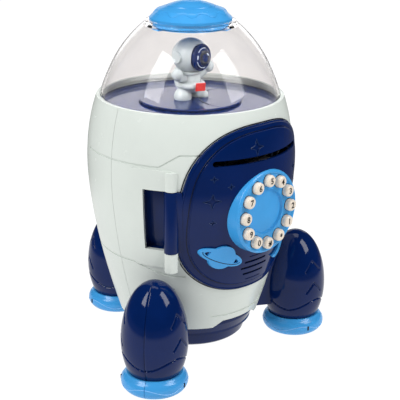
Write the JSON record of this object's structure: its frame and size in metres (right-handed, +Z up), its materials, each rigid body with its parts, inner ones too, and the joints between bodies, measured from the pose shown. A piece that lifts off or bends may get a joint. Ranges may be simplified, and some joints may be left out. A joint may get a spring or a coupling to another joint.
{
  "type": "toy rocket money bank",
  "caption": "Rocket-shaped toy money bank with clear dome, turning astronaut, hinged door with banknote slot and push-key dial, on booster legs.",
  "frame": {"origin": "on the floor, under the centre of the bounding box", "axes": "+Z up along the body axis, the door faces -Y, +X to the door's right as seen from the front"},
  "size_m": [0.2218, 0.217, 0.2965],
  "materials": {
    "white_shell": "gloss",
    "clear_dome": "clear moulded plastic",
    "light_blue": "gloss",
    "navy": "high gloss",
    "dark_inner": "matte",
    "cream_key": "satin gloss",
    "figure_grey": "gloss",
    "visor": "high gloss",
    "steel": "plated",
    "gear_plastic": "moulded",
    "rubber": "matte",
    "board": "satin",
    "speaker": "matte",
    "cell": "printed sleeve"
  },
  "bodies": {
    "body": {"front_shell": "white_shell", "rear_shell": "white_shell", "shell_screws": "steel", "hinge_recess_plate": "navy", "hinge_pin": "steel", "base_cover": "navy", "battery_cover": "navy", "batteries": "cell", "chamber_floor": "dark_inner", "deck": "navy", "turntable_motor": "steel", "gearbox_cover": "dark_inner", "dome": "clear_dome", "dome_cap": "light_blue", "leg_screws": "steel", "booster_front_left_a": "navy", "foot_front_left_a": "light_blue", "booster_front_left_b": "navy", "foot_front_left_b": "light_blue", "booster_front_right_a": "navy", "foot_front_right_a": "light_blue", "booster_front_right_b": "navy", "foot_front_right_b": "light_blue", "booster_rear_a": "navy", "foot_rear_a": "light_blue", "booster_rear_b": "navy", "foot_rear_b": "light_blue"},
    "turntable": {"turntable": "navy", "turntable_gear": "gear_plastic", "astronaut_body": "figure_grey", "astronaut_helmet": "figure_grey", "astronaut_visor": "visor"},
    "motor_pinion": {"motor_pinion": "gear_plastic"},
    "door": {"door_panel": "navy", "door_back_cover": "dark_inner", "latch_motor": "steel", "planet_emblem": "light_blue", "moon_emblem": "light_blue", "dial_ring": "light_blue", "keypad_mat": "rubber", "circuit_board": "board", "speaker": "speaker", "feed_frame": "dark_inner", "feed_motor": "steel"},
    "latch_bolt": {"latch_bolt": "gear_plastic"},
    "feed_roller": {"feed_roller": "rubber"},
    "feed_pinion": {"feed_pinion": "gear_plastic"},
    "idler_roller": {"idler_roller": "rubber"},
    "key_1": {"key_1": "cream_key"},
    "key_2": {"key_2": "cream_key"},
    "key_3": {"key_3": "cream_key"},
    "key_4": {"key_4": "cream_key"},
    "key_5": {"key_5": "cream_key"},
    "key_6": {"key_6": "cream_key"},
    "key_7": {"key_7": "cream_key"},
    "key_8": {"key_8": "cream_key"},
    "key_9": {"key_9": "cream_key"},
    "key_0": {"key_0": "cream_key"},
    "key_hash": {"key_hash": "cream_key"},
    "key_star": {"key_star": "cream_key"}
  },
  "joints": [
    {"name": "door_hinge", "type": "hinge", "parent": "body", "child": "door", "pos_m": [-0.06712, -0.06499, 0.137], "axis": [0, 0, -1], "range_deg": [0, 105]},
    {"name": "turntable_spin", "type": "hinge", "parent": "body", "child": "turntable", "pos_m": [0, -0.01533, 0.2], "axis": [0, 0, 1], "continuous": true},
    {"name": "motor_pinion_spin", "type": "hinge", "parent": "body", "child": "motor_pinion", "pos_m": [0, 0.01082, 0.206], "axis": [0, 0, 1], "continuous": true},
    {"name": "latch_slide", "type": "slide", "parent": "door", "child": "latch_bolt", "axis": [1, 0, 0], "range_m": [0, 0.0045]},
    {"name": "feed_roller_spin", "type": "hinge", "parent": "door", "child": "feed_roller", "pos_m": [0, -0.07933, 0.1806], "axis": [1, 0, 0], "continuous": true},
    {"name": "feed_pinion_spin", "type": "hinge", "parent": "door", "child": "feed_pinion", "pos_m": [0.03, -0.07933, 0.1715], "axis": [1, 0, 0], "continuous": true},
    {"name": "idler_roller_spin", "type": "hinge", "parent": "door", "child": "idler_roller", "pos_m": [0, -0.07933, 0.1889], "axis": [1, 0, 0], "continuous": true},
    {"name": "key_1_press", "type": "slide", "parent": "door", "child": "key_1", "axis": [0, 1, 0], "range_m": [0, 0.0015], "stiffness_N_per_m": 500},
    {"name": "key_2_press", "type": "slide", "parent": "door", "child": "key_2", "axis": [0, 1, 0], "range_m": [0, 0.0015], "stiffness_N_per_m": 500},
    {"name": "key_3_press", "type": "slide", "parent": "door", "child": "key_3", "axis": [0, 1, 0], "range_m": [0, 0.0015], "stiffness_N_per_m": 500},
    {"name": "key_4_press", "type": "slide", "parent": "door", "child": "key_4", "axis": [0, 1, 0], "range_m": [0, 0.0015], "stiffness_N_per_m": 500},
    {"name": "key_5_press", "type": "slide", "parent": "door", "child": "key_5", "axis": [0, 1, 0], "range_m": [0, 0.0015], "stiffness_N_per_m": 500},
    {"name": "key_6_press", "type": "slide", "parent": "door", "child": "key_6", "axis": [0, 1, 0], "range_m": [0, 0.0015], "stiffness_N_per_m": 500},
    {"name": "key_7_press", "type": "slide", "parent": "door", "child": "key_7", "axis": [0, 1, 0], "range_m": [0, 0.0015], "stiffness_N_per_m": 500},
    {"name": "key_8_press", "type": "slide", "parent": "door", "child": "key_8", "axis": [0, 1, 0], "range_m": [0, 0.0015], "stiffness_N_per_m": 500},
    {"name": "key_9_press", "type": "slide", "parent": "door", "child": "key_9", "axis": [0, 1, 0], "range_m": [0, 0.0015], "stiffness_N_per_m": 500},
    {"name": "key_0_press", "type": "slide", "parent": "door", "child": "key_0", "axis": [0, 1, 0], "range_m": [0, 0.0015], "stiffness_N_per_m": 500},
    {"name": "key_hash_press", "type": "slide", "parent": "door", "child": "key_hash", "axis": [0, 1, 0], "range_m": [0, 0.0015], "stiffness_N_per_m": 500},
    {"name": "key_star_press", "type": "slide", "parent": "door", "child": "key_star", "axis": [0, 1, 0], "range_m": [0, 0.0015], "stiffness_N_per_m": 500}
  ],
  "couplings": [
    {"joint": "motor_pinion_spin", "follows": "turntable_spin", "ratio": -3.3333},
    {"joint": "feed_pinion_spin", "follows": "feed_roller_spin", "ratio": -2},
    {"joint": "idler_roller_spin", "follows": "feed_roller_spin", "ratio": -1}
  ]
}
